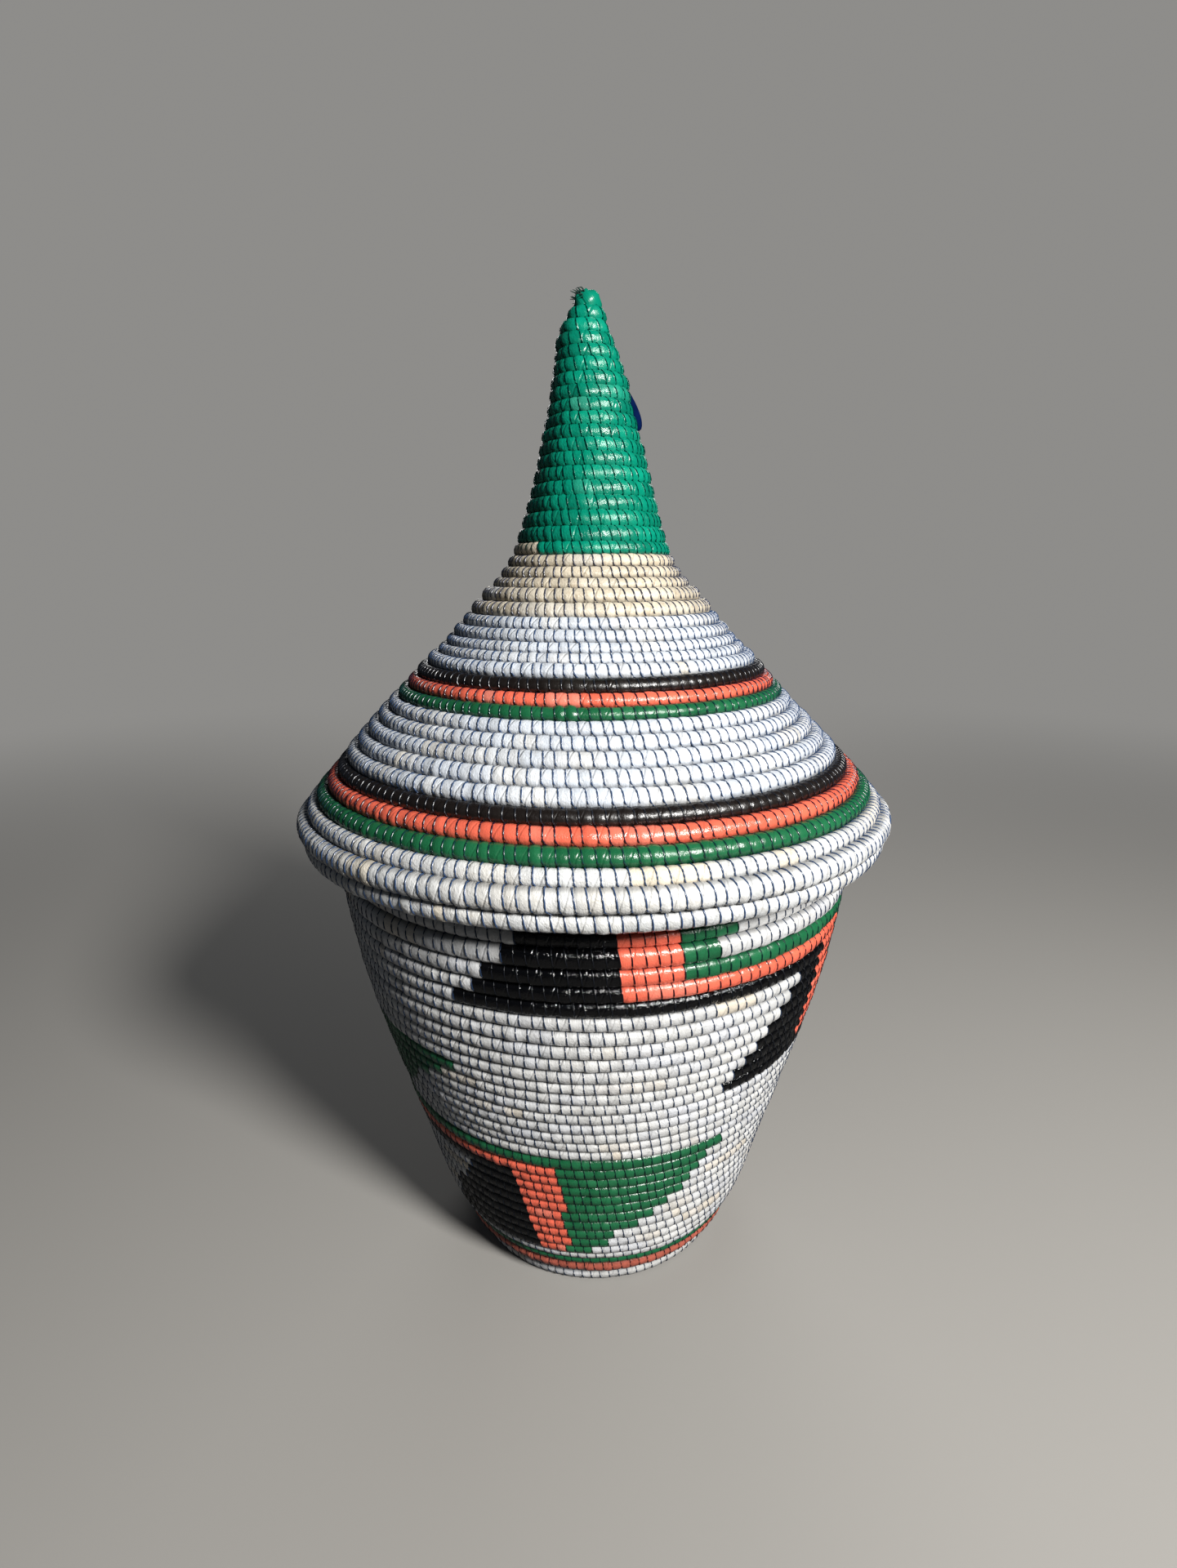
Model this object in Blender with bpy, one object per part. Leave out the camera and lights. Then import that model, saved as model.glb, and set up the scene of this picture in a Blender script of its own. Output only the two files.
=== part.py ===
# Lidded coiled basket: a low urn with a stepped pattern and a tall cone lid.
# A basket like this is one long grass coil sewn row on row; coloured strips wrap the coil.
# Each wall is a core (the grass foundation) with its strip wraps as separate skins over it.
import bpy
import bmesh
from math import cos, sin, pi, hypot
from mathutils import Matrix, Vector

mm = 0.001

# Driving sizes. Radii of rows are those of a coil's middle.
shoulderRadius = 88.6 * mm     # widest row of the bowl
shoulderHeight = 148 * mm
rimInset, rimRise = 1.9 * mm, 33.5 * mm              # the mouth, hidden inside the lid, from the shoulder
bowlShares = ((0.937, 0.757), (0.841, 0.541), (0.739, 0.331), (0.658, 0.162))   # of both, further down
footRadius = 48.2 * mm         # the lowest coil of the wall
footRise = 2.6 * mm            # and its height over the floor
brimOverhang = 16.7 * mm       # how far the lid's fattest coil reaches out past the shoulder row
brimHalf = 3.4 * mm            # half thickness of that coil
lidRise = 165.5 * mm           # first row of the spire above the brim coil
tipRadius = 2.4 * mm           # and its radius
lidShares = ((0.078, 0.911), (0.117, 0.812), (0.234, 0.545), (0.377, 0.421), (0.640, 0.251))   # the lid
upperStepIn, upperStepRise = 3.3 * mm, 5.1 * mm      # the coil above the brim coil
underStepIn, underStepDrop = 1.4 * mm, 6.1 * mm      # the coil below it
hollowRadius = 2.5 * mm        # the spire is solid where its hollow would be thinner
# the coil's thickness at some rows, relative to the others
bowlPitches = {0: 5.0, 5: 6.05, 12: 4.93, 20: 4.33, 29: 4.86, 38: 4.46}
lidPitches = {0: 4.3, 10: 4.0, 15: 4.85, 31: 4.85, 40: 6.2, 42: 6.1}
grooveShare = 0.32             # how far a groove stands out, as a share of a coil's half
crestShare = 1.06              # and a crest, pressed out by the sewing
crestPoints = 2                # corners round the outside of a coil
coilCorners = {"lid_spire_green_wrap": 1, "lid_cream_wrap": 1, "lid_brim_white_coil": 3}     # or of these
coreShare = 0.90               # how far the core reaches inwards, as a share of a coil's half
clearance = 0.3 * mm           # between pieces that touch on the real basket
floorThickness = 4.4 * mm
tipHeight = 2.2 * mm           # the knot above the first row
threadLength, threadWidth, threadThickness = 13 * mm, 4.4 * mm, 3.4 * mm   # blue end on the spire
threadRow, threadAngle = 9, 100                      # its row of the spire, degrees right of front

# Rows of coil, top to bottom.
spireRows, creamRows, upperWhiteRows, middleWhiteRows = 19, 5, 5, 5
neckRows = 5                   # bowl rows hidden inside the lid
patternRows = 29               # rows under the lid that the stepped pattern uses
footColours = ("white", "green", "coral", "black", "white")
bowlCoreStep, lidCoreStep, insideStep = 4, 2, 4      # rows between the stations of the cores' faces

columns = 24                   # facets round the basket
levelShare = 0.5               # of each turn, across the front; behind, the coil drops to the next row
changeColumn = 18              # column of a turn where a stripe ends and the next begins, behind
lineColumn, lineRows = 12, 12  # and the same for the first rows of the pattern, whose lines pass behind

colours = {
    "white": (0.62, 0.64, 0.68), "cream": (0.60, 0.52, 0.40), "coral": (0.78, 0.13, 0.07),
    "green": (0.015, 0.13, 0.045), "black": (0.006, 0.006, 0.008), "emerald": (0.0, 0.26, 0.13),
    "grass": (0.42, 0.33, 0.19), "blue": (0.01, 0.02, 0.14),
}


def spline(stations, steps=24):
    """Catmull-Rom curve through (r, z) stations, as a list of points."""
    pts = [tuple(2 * a - b for a, b in zip(stations[0], stations[1]))] + list(stations)
    pts.append(tuple(2 * a - b for a, b in zip(stations[-1], stations[-2])))
    out = []
    for p0, p1, p2, p3 in zip(pts, pts[1:], pts[2:], pts[3:]):
        for n in range(steps):
            t = n / steps
            out.append(tuple(0.5 * (2 * b + (c - a) * t + (2 * a - 5 * b + 4 * c - d) * t * t
                                    + (3 * b - a - 3 * c + d) * t ** 3)
                             for a, b, c, d in zip(p0, p1, p2, p3)))
    return out + [stations[-1]]


class Wall:
    """Rows of coil along a turned centreline; pitches are (row, coil thickness) pairs."""

    def __init__(self, points, pitches, coreStep):
        self.points = points
        self.coreStep = coreStep
        self.arc = [0.0]
        for a, b in zip(points, points[1:]):
            self.arc.append(self.arc[-1] + hypot(b[0] - a[0], b[1] - a[1]))
        ends = [points[0]] + points + [points[-1]]
        self.normals = []
        for a, b in zip(ends, ends[2:]):
            long = hypot(b[0] - a[0], b[1] - a[1])
            self.normals.append(((a[1] - b[1]) / long, (b[0] - a[0]) / long))
        rows = [pitches[0][1]]
        for (a, first), (b, last) in zip(pitches, pitches[1:]):
            rows += [first + (last - first) * (k + 1) / (b - a) for k in range(b - a)]
        share = self.arc[-1] / (sum(rows) - (rows[0] + rows[-1]) / 2)
        self.pitch = [p * share for p in rows]
        self.half = [p / 2 for p in self.pitch]
        self.edge = [-self.pitch[0] / 2]
        for p in self.pitch:
            self.edge.append(self.edge[-1] + p)

    def at(self, s, out=0.0):
        """The point at arc length s, moved out along the outward normal."""
        k = 0
        while k < len(self.arc) - 2 and self.arc[k + 1] < s:
            k += 1
        t = (s - self.arc[k]) / (self.arc[k + 1] - self.arc[k])
        r, z = [a + (b - a) * t for a, b in zip(self.points[k], self.points[k + 1])]
        turn = min(max(t, 0), 1)
        nr, nz = [a + (b - a) * turn for a, b in zip(self.normals[k], self.normals[k + 1])]
        long = hypot(nr, nz)
        return r + nr / long * out, z + nz / long * out

    def level(self, row):
        """Arc length of a row's upper edge; the row may be a fraction, as where the coil drops."""
        row = min(row, len(self.half))
        k = min(int(row), len(self.half) - 1)
        return self.edge[k] + (row - k) * self.pitch[k]

    def thick(self, row):
        """Half the coil's thickness at a row; it runs out past the last one."""
        k = min(int(row), len(self.half) - 1)
        after = min(k + 1, len(self.half) - 1)
        return (self.half[k] + (row - k) * (self.half[after] - self.half[k])) * min(1, len(self.half) - row)

    def groove(self, row):
        return self.thick(min(row, len(self.half) - 1)) * grooveShare

    def crests(self, row, count):
        """Points round the outside of one coil, from its upper side to its lower side."""
        s = (self.level(row) + self.level(row + 1)) / 2
        (r, z), (ro, zo), half = self.at(s), self.at(s, 1.0), self.thick(row) * crestShare
        nr, nz = ro - r, zo - z
        spread = [pi * (k + 1) / (count + 1) - pi / 2 for k in range(count)]
        return [(r + half * (nr * cos(a) + nz * sin(a)), z + half * (nz * cos(a) - nr * sin(a)))
                for a in spread]

    def stations(self, step):
        return self.edge[:1] + self.edge[step:-2:step] + self.edge[-1:]

    def foundation(self):
        """The core's outer profile: drawn in at each bend, where a wrap's flat inside cuts across."""
        marks = self.stations(self.coreStep)
        pts = [self.at(s) for s in marks]
        drawn = pts[:]
        for k in range(1, len(pts) - 1):
            (r0, z0), (r1, z1), (r2, z2) = pts[k - 1:k + 2]
            bend = (r2 - r1) * (z1 - z0) - (r1 - r0) * (z2 - z1)
            bend /= hypot(r1 - r0, z1 - z0) * hypot(r2 - r1, z2 - z1)
            drawn[k] = self.at(marks[k], -max(self.pitch) * abs(bend) / 4)
        return drawn

    def bed(self, s):
        """The inner face of a wrap at arc length s: a clearance over the core's outer face."""
        marks = self.stations(self.coreStep)
        k = 0
        while k < len(marks) - 2 and marks[k + 1] < s:
            k += 1
        (r0, z0), (r1, z1) = self.at(marks[k]), self.at(marks[k + 1])
        t = (s - marks[k]) / (marks[k + 1] - marks[k])
        (rs, zs), (ro, zo) = self.at(s), self.at(s, clearance)
        return r0 + (r1 - r0) * t + ro - rs, z0 + (z1 - z0) * t + zo - zs

    def inner(self, s):
        """The inner face of the core at arc length s, or None where no hollow is left."""
        row = max(k for k in range(len(self.pitch)) if self.edge[k] <= s + 1e-9)
        r, z = self.at(s, -self.pitch[row] / 2 * coreShare)
        return (r, z) if r > hollowRadius else None


def turned(profile, columns):
    """A closed solid of revolution from a closed (r, z) profile; points at r = 0 are single."""
    verts, faces, rings = [], [], []
    for r, z in profile:
        if r < 1e-7:
            rings.append([len(verts)] * columns)
            verts.append((0.0, 0.0, z))
            continue
        rings.append(list(range(len(verts), len(verts) + columns)))
        for k in range(columns):
            a = 2 * pi * k / columns
            verts.append((r * sin(a), -r * cos(a), z))
    pairs = list(zip(rings, rings[1:] + rings[:1]))
    for top, low in pairs:
        for k in range(columns):
            n = (k + 1) % columns
            face = []
            for v in (top[k], low[k], low[n], top[n]):
                if v not in face:
                    face.append(v)
            if len(face) > 2:
                faces.append(face)
    return verts, faces


def drop(share):
    """Rows that the coil has dropped at a share of its turn: none across the front, one at the end."""
    t = min(max((share - levelShare) / (1 - levelShare), 0), 1)
    return t * t * (3 - 2 * t)


def blocks(wall, labels):
    """Solids that tile a wall: labels[row][column] names the solid each cell belongs to.

    A row is one turn of the coil. It starts at the right, runs to the left across the front, and
    drops to the next row round the back, so its last cell lies beside the first of the next row.
    """
    rows = len(labels)
    solids = {}

    def label(i, j):
        i, j = i + j // columns, j % columns
        return labels[i][j] if 0 <= i < rows else None

    def sign(v):
        return (v > 0) - (v < 0)

    for name in sorted({cell for line in labels for cell in line if cell}):
        verts, index, faces = [], {}, []
        rounds = range(coilCorners.get(name, crestPoints))

        # two cells of a solid that meet in a corner only keep a corner each, above it or not
        def corner(i, j, layer, above=False):
            i, j = i + j // columns, j % columns
            here = [[label(a, b) == name for b in (j - 1, j)] for a in (i - 1, i)]
            apart = here[0][0] == here[1][1] != here[0][1] == here[1][0]
            key = (i, j, layer, apart and above)
            if key in index:
                return index[key]
            if layer in ("in", "out"):
                if apart:
                    here = [here[0], [False, False]] if above else [[False, False], here[1]]
                sideways = here[0][1] + here[1][1] - here[0][0] - here[1][0]
                down = here[1][0] + here[1][1] - here[0][0] - here[0][1]
                row = i + drop(j / columns) if i > 0 else 0
                s = wall.level(row) + sign(down) * clearance / 2
                r, z = wall.bed(s) if layer == "in" else wall.at(s, wall.groove(row))
            else:
                sideways = (label(i, j) == name) - (label(i, j - 1) == name)
                r, z = wall.crests(i + drop(j / columns), len(rounds))[layer]
            a = pi / 2 - 2 * pi * j / columns - sign(sideways) * clearance / 2 / r
            index[key] = len(verts)
            verts.append((r * sin(a), -r * cos(a), z))
            return index[key]

        for i in range(rows):
            for j in range(columns):
                if label(i, j) != name:
                    continue
                ends = j + 1, j
                outside = [[corner(i, c, "out") for c in ends]]
                outside += [[corner(i, c, n) for c in ends] for n in rounds]
                outside.append([corner(i + 1, c, "out", True) for c in ends])
                top, low = outside[0], outside[-1]
                inTop = [corner(i, c, "in") for c in ends]
                inLow = [corner(i + 1, c, "in", True) for c in ends]
                for upper, lower in zip(outside, outside[1:]):
                    faces.append((upper[0], lower[0], lower[1], upper[1]))
                faces.append((inTop[0], inTop[1], inLow[1], inLow[0]))
                if label(i - 1, j) != name:
                    faces.append((top[0], top[1], inTop[1], inTop[0]))
                if label(i + 1, j) != name:
                    faces.append((low[0], inLow[0], inLow[1], low[1]))
                if label(i, j + 1) != name:
                    faces.append((inTop[0], inLow[0], *[pair[0] for pair in reversed(outside)]))
                if label(i, j - 1) != name:
                    faces.append((inLow[1], inTop[1], *[pair[1] for pair in outside]))
        solids[name] = verts, faces
    return solids


def coiled(rowName, rows, changes):
    """Labels of a wall's cells. rowName(row, column) names the solid of a level row, and
    changes(row) is the column of that turn where the coil passes on to the next row."""
    labels = []
    for i in range(rows):
        here, before = changes(i), changes(max(i - 1, 0))
        names = [rowName(i + (j >= here), j) for j in range(columns)]
        names[before:here] = [rowName(None, j) for j in range(before, here)]
        labels.append(names)
    labels[-1][changes(rows):] = [None] * (columns - changes(rows))
    return labels


def piece(name, colour, mesh, parent=None):
    """One named object with its own material."""
    data = bpy.data.meshes.new(name)
    data.from_pydata(mesh[0], [], mesh[1])
    data.validate()
    data.shade_smooth()
    data.set_sharp_from_angle(angle=0.9)
    thing = bpy.data.objects.new(name, data)
    bpy.context.collection.objects.link(thing)
    mat = bpy.data.materials.new(name)
    mat.use_nodes = True
    shader = mat.node_tree.nodes["Principled BSDF"]
    shader.inputs["Base Color"].default_value = (*colours[colour], 1)
    shader.inputs["Roughness"].default_value = 0.8 if colour == "grass" else 0.35
    shader.inputs["Metallic"].default_value = 0.0
    data.materials.append(mat)
    thing.parent = parent
    return thing


# The stepped pattern is one chain of four motifs that winds down the bowl. Angles are degrees to
# the right of the front. coral: left edge of a motif's coral part; blackStart and blackStep: width
# of the black part at the motif's fourth row and its growth per row; greenStart and greenStep: reach
# of the green part right of the coral's left edge at the first row, and its loss per row.
coralWidth = 12.4
motifRows = 11
motifs = (
    dict(top=-6, coral=4.5, blackStart=13.8, blackStep=2.5, greenStart=44.0, greenStep=2.9),
    dict(top=2, coral=57.0, blackStart=10.2, blackStep=2.45, greenStart=46.0, greenStep=2.9),
    dict(top=10, coral=268.0, blackStart=12.0, blackStep=2.9, greenStart=59.8, greenStep=4.3),
    dict(top=18, coral=336.5, blackStart=13.4, blackStep=3.5, greenStart=59.7, greenStep=3.6),
)


def pattern(row, angle):
    """Colour and motif number of the cell at a row (0 is the first below the lid) and angle."""
    for number, m in enumerate(motifs):
        step = row - m["top"]
        if not 0 <= step < motifRows:
            continue
        black = m["blackStart"] + m["blackStep"] * (step - 3) if step > 2 else 0
        left = m["coral"] - black
        reach = black + m["greenStart"] - m["greenStep"] * step
        coralStart, coralEnd = black, black + coralWidth
        if step == 0:
            coralEnd = 0
        # the last three rows run on to the right as lines, and open the next motif
        if step > motifRows - 4 and number + 1 < len(motifs):
            reach = (motifs[number + 1]["coral"] - left) % 360
            if step == motifRows - 2:
                coralEnd = reach
            if step == motifRows - 1:
                coralStart = coralEnd = reach
        across = (angle - left) % 360
        if across < reach:
            colour = "black" if across < coralStart else "coral" if across < coralEnd else "green"
            return colour, number + 1
    return "white", 0


bowlRows = neckRows + patternRows + len(footColours)
bowl = Wall(spline([(shoulderRadius - rimInset, shoulderHeight + rimRise), (shoulderRadius, shoulderHeight)]
                   + [(shoulderRadius * a, shoulderHeight * b) for a, b in bowlShares]
                   + [(footRadius, footRise)]),
            list(bowlPitches.items()), bowlCoreStep)

brimCentre = shoulderRadius + brimOverhang - brimHalf
cone = spline([(tipRadius, lidRise)] + [(brimCentre * a, lidRise * b) for a, b in lidShares]
              + [(brimCentre - upperStepIn, upperStepRise)])
lidBands = [("spire_green_wrap", "emerald", spireRows), ("cream_wrap", "cream", creamRows),
            ("upper_white_wrap", "white", upperWhiteRows), ("upper_black_coil", "black", 1),
            ("upper_coral_coil", "coral", 1), ("upper_green_coil", "green", 1),
            ("middle_white_wrap", "white", middleWhiteRows), ("lower_black_coil", "black", 1),
            ("lower_coral_coil", "coral", 1), ("lower_green_coil", "green", 1),
            ("shoulder_white_coil", "white", 1), ("brim_white_coil", "white", 1),
            ("under_brim_coil", "white", 1)]
lid = Wall(cone + [(brimCentre, 0.0), (brimCentre - underStepIn, -underStepDrop)],
           list(lidPitches.items()), lidCoreStep)
lid.half[-2] = brimHalf


def innerHeight(radius):
    """Height of the lid's inner face over the brim coil, on the cone, at a radius."""
    face = [lid.inner(s) for s in lid.stations(insideStep)]
    face = [p for p in face if p and p[1] > 0]
    for (r0, z0), (r1, z1) in zip(face, face[1:]):
        if r0 <= radius <= r1:
            return z0 + (z1 - z0) * (radius - r0) / (r1 - r0)
    return face[-1][1]


# the lid drops until its cone meets the mouth of the bowl
rim = [bowl.at(bowl.edge[0]), bowl.inner(bowl.edge[0]), bowl.at(bowl.edge[0], bowl.groove(0)),
       bowl.at(bowl.edge[1], bowl.groove(1))] + bowl.crests(0, crestPoints) + bowl.crests(1, crestPoints)
lidHeight = max(z - innerHeight(r) for r, z in rim) + clearance * 2 ** 0.5


def core(wall, foot=None):
    """Closed profile of a wall's core: down its middle line, and back up its inner face."""
    outer = wall.foundation()
    inner = [wall.inner(s) for s in reversed(wall.stations(insideStep))]
    inner = [p for p in inner if p]
    if foot is not None:
        for side, end, before in ((outer, -1, -2), (inner, 0, 1)):
            (r, z), (above, high) = side[end], side[before]
            side[end] = (r + (r - above) * (foot - z) / (z - high), foot)
    return outer, inner


for old in list(bpy.data.objects):
    bpy.data.objects.remove(old, do_unlink=True)

outer, inner = core(bowl, foot=0.0)
piece("base_core", "grass", turned(outer + inner, columns))
floorEdge = inner[0][0] - clearance
piece("base_floor", "grass", turned([(0.0, floorThickness), (floorEdge, floorThickness),
                                     (floorEdge, 0.0), (0.0, 0.0)], columns))



def bowlName(row, column):
    """The solid of the bowl at a row and column."""
    if row is None:
        return "base_white_wrap"
    row -= neckRows
    if row >= patternRows:
        number = min(row - patternRows, len(footColours) - 1)
        return "base_foot_%s_coil_%d" % (footColours[number], number + 1)
    colour, number = pattern(row, 90 - 360 / columns * (column + 0.5))
    return "base_white_wrap" if colour == "white" else "base_%s_motif_%d" % (colour, number)


cells = coiled(bowlName, bowlRows, lambda row: lineColumn if row < neckRows + lineRows else changeColumn)
for name, mesh in blocks(bowl, cells).items():
    colour = name.split("_")[2] if "foot" in name else name.split("_")[1]
    piece(name, colour, mesh)

lidFrame = bpy.data.objects.new("lid_frame", None)
lidFrame.location = (0, 0, lidHeight)
bpy.context.collection.objects.link(lidFrame)
outer, inner = core(lid)
apex = inner[-1][1]
top = outer[0][1]
piece("lid_core", "grass", turned([(0.0, top)] + outer + inner + [(0.0, apex)], columns), lidFrame)
lidNames = ["lid_" + name for name, colour, count in lidBands for k in range(count)]
lidColours = {"lid_" + name: colour for name, colour, count in lidBands}
cells = coiled(lambda row, column: lidNames[min(row, len(lidNames) - 1)], len(lidNames),
               lambda row: changeColumn)
for name, mesh in blocks(lid, cells).items():
    piece(name, lidColours[name], mesh, lidFrame)

skinTop = lid.at(lid.edge[0] + clearance / 2, lid.groove(0))
knotLow = max(top, skinTop[1]) + clearance
knotRadius = skinTop[0] + lid.half[0] / 2
knot = [(0.0, knotLow + tipHeight), (knotRadius * 0.6, knotLow + tipHeight * 0.8),
        (knotRadius, knotLow + tipHeight * 0.35), (knotRadius * 0.9, knotLow), (0.0, knotLow)]
piece("lid_tip_knot", "emerald", turned(knot, columns // 2), lidFrame)

# a loose end of blue thread lies along the spire, on its crests
middle = (lid.edge[threadRow] + lid.edge[threadRow + 1]) / 2
off = lid.half[threadRow + 1] * crestShare + clearance + threadThickness / 2
(r, z), (above, high) = lid.at(middle, off), lid.at(middle - threadLength / 2, off)
turn = Matrix.Rotation(threadAngle * pi / 180 - pi / 2, 4, "Z")
along = Vector((above - r, 0, high - z)).normalized()
outward = Vector((along.z, 0, -along.x))
frame = Matrix((outward * threadThickness, Vector((0, threadWidth, 0)), along * threadLength))
frame = frame.transposed().to_4x4()
shape = bmesh.new()
bmesh.ops.create_uvsphere(shape, u_segments=10, v_segments=8, radius=0.5,
                          matrix=turn @ Matrix.Translation((r, 0, z)) @ frame)
verts = [v.co[:] for v in shape.verts]
faces = [[v.index for v in face.verts] for face in shape.faces]
shape.free()
piece("lid_blue_thread_end", "blue", (verts, faces), lidFrame)
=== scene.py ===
# Lidded coiled basket: each part is one long coil, wrapped in plastic strip and sewn with thread.
import math
import bpy
import numpy as np
from mathutils import Euler, Matrix, Vector


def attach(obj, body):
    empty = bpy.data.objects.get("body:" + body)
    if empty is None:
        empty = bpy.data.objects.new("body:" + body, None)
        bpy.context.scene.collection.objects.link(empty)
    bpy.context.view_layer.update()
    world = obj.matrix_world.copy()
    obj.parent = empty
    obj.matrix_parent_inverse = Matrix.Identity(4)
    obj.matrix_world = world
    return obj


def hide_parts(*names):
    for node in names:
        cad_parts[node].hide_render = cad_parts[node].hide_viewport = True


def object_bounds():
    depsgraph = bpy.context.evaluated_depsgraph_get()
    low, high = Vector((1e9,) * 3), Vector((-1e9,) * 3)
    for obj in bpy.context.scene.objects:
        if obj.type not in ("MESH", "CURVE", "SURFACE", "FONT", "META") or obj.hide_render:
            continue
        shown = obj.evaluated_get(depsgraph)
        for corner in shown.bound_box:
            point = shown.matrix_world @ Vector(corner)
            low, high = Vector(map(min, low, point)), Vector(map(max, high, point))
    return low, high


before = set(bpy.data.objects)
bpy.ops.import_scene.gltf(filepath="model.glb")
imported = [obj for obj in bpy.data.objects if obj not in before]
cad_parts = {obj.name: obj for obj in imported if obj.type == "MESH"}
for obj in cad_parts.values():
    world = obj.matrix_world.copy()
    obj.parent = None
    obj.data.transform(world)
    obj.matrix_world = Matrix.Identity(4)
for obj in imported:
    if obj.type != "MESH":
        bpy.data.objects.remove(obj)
cadBox = [list(corner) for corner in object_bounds()]
mm = 0.001
rng = np.random.default_rng(11)


class Field:  # one socket of a node tree; operators add Math nodes
    def __init__(self, board, socket):
        self.board, self.socket = board, socket

    def __add__(self, other):
        return self.board.maths("ADD", self, other)

    def __sub__(self, other):
        return self.board.maths("SUBTRACT", self, other)

    def __rsub__(self, other):
        return self.board.maths("SUBTRACT", other, self)

    def __mul__(self, other):
        return self.board.maths("MULTIPLY", self, other)

    def __truediv__(self, other):
        return self.board.maths("DIVIDE", self, other)

    __radd__, __rmul__ = __add__, __mul__


class Board:  # adds nodes to one tree
    def __init__(self, tree):
        self.tree = tree

    # a node's type, its settings, and the values or links of its sockets
    def node(self, kind, settings=None, sockets=None, out=0):
        made = self.tree.nodes.new(kind)
        for key, value in (settings or {}).items():
            if key == "stops":
                ramp = made.color_ramp
                while len(ramp.elements) < len(value):
                    ramp.elements.new(1.0)
                for stop, (at, colour) in zip(ramp.elements, value):
                    stop.position, stop.color = at, colour
            else:
                setattr(made, key, value)
        for key, value in (sockets or {}).items():
            if isinstance(value, Field):
                self.tree.links.new(value.socket, made.inputs[key])
            else:
                made.inputs[key].default_value = value
        return Field(self, made.outputs[out])

    def maths(self, operation, *values):
        return self.node("ShaderNodeMath", {"operation": operation}, dict(enumerate(values)))

    def vectors(self, operation, *values, out=0):
        return self.node("ShaderNodeVectorMath", {"operation": operation}, dict(enumerate(values)), out)

    def scaled(self, vector, by):
        return self.node("ShaderNodeVectorMath", {"operation": "SCALE"}, {0: vector, "Scale": by})

    def vector(self, x, y, z):
        return self.node("ShaderNodeCombineXYZ", {}, {0: x, 1: y, 2: z})

    def step(self, value, low, high):  # 0 below low, 1 above high
        return self.node("ShaderNodeMapRange", {"interpolation_type": "SMOOTHSTEP"},
                         {"Value": value, "From Min": low, "From Max": high})

    def noise(self, at, scale=1.0, detail=2.0, rough=0.5):
        return self.node("ShaderNodeTexNoise", {}, {"Vector": at, "Scale": scale, "Detail": detail,
                                                    "Roughness": rough})

    def mixed(self, a, b, share, mode="MIX"):  # inputs 6 and 7 and output 2 are the node's colours
        return self.node("ShaderNodeMix", {"data_type": "RGBA", "blend_type": mode},
                         {0: share, 6: a, 7: b}, out=2)

    def grey(self, value):
        return self.node("ShaderNodeCombineColor", {}, {0: value, 1: value, 2: value})

    def attribute(self, name):  # output 2 is the plain number
        return self.node("ShaderNodeAttribute", {"attribute_name": name}, out=2)

    def named(self, name, kind="FLOAT"):
        return self.node("GeometryNodeInputNamedAttribute", {"data_type": kind}, {"Name": name})

    def place(self):
        return self.node("GeometryNodeInputPosition")

    def end(self, kind, shader):  # joins a shader to the tree's output
        self.tree.links.new(shader.socket, self.tree.nodes.new(kind).inputs["Surface"])

    def moved(self, geometry, offset):
        return self.node("GeometryNodeSetPosition", {}, {"Geometry": geometry, "Offset": offset})


# an empty Geometry Nodes tree with named inputs: its board, its inputs, and what ends it
def geometryTree(name, sizes):
    tree = bpy.data.node_groups.new(name, "GeometryNodeTree")
    tree.interface.new_socket("Geometry", in_out="INPUT", socket_type="NodeSocketGeometry")
    for label, value in sizes.items():
        kind = "NodeSocketInt" if isinstance(value, int) else "NodeSocketFloat"
        tree.interface.new_socket(label, in_out="INPUT", socket_type=kind).default_value = value
    tree.interface.new_socket("Material", in_out="INPUT", socket_type="NodeSocketMaterial")
    tree.interface.new_socket("Geometry", in_out="OUTPUT", socket_type="NodeSocketGeometry")
    board = Board(tree)
    entry = tree.nodes.new("NodeGroupInput")
    given = {socket.name: Field(board, socket) for socket in entry.outputs if socket.name}

    def finish(geometry):
        solid = board.node("GeometryNodeRealizeInstances", {}, {"Geometry": geometry})
        solid = board.node("GeometryNodeSetShadeSmooth", {}, {"Geometry": solid})
        solid = board.node("GeometryNodeSetMaterial", {}, {
            "Geometry": solid, "Material": given["Material"]})
        tree.links.new(solid.socket, tree.nodes.new("NodeGroupOutput").inputs[0])
        return tree

    return board, given, finish


def added(name, data):
    thing = bpy.data.objects.new(name, data)
    bpy.context.collection.objects.link(thing)
    return thing


# runs a tree on a guide object and keeps the result as a plain mesh
def grown(guide, tree, name, settings):
    live = guide.modifiers.new("grow", "NODES")
    live.node_group = tree
    for item in tree.interface.items_tree:
        if item.in_out == "INPUT" and item.name in settings:
            live[item.identifier] = settings[item.name]
    shape = guide.evaluated_get(bpy.context.evaluated_depsgraph_get())
    mesh = bpy.data.meshes.new_from_object(shape)
    guide.modifiers.remove(live)
    bpy.data.objects.remove(guide, do_unlink=True)
    mesh.name = name
    return added(name, mesh)


# points and edges that carry named values into a tree
def guideObject(points, edges, values):
    mesh = bpy.data.meshes.new("guide")
    mesh.from_pydata([tuple(p) for p in points], edges, [])
    for name, column in values.items():
        column = np.asarray(column, dtype=np.float32)
        wide = column.ndim == 2
        made = mesh.attributes.new(name, "FLOAT_VECTOR" if wide else "FLOAT", "POINT")
        made.data.foreach_set("vector" if wide else "value", column.ravel())
    return added("guide", mesh)


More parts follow.
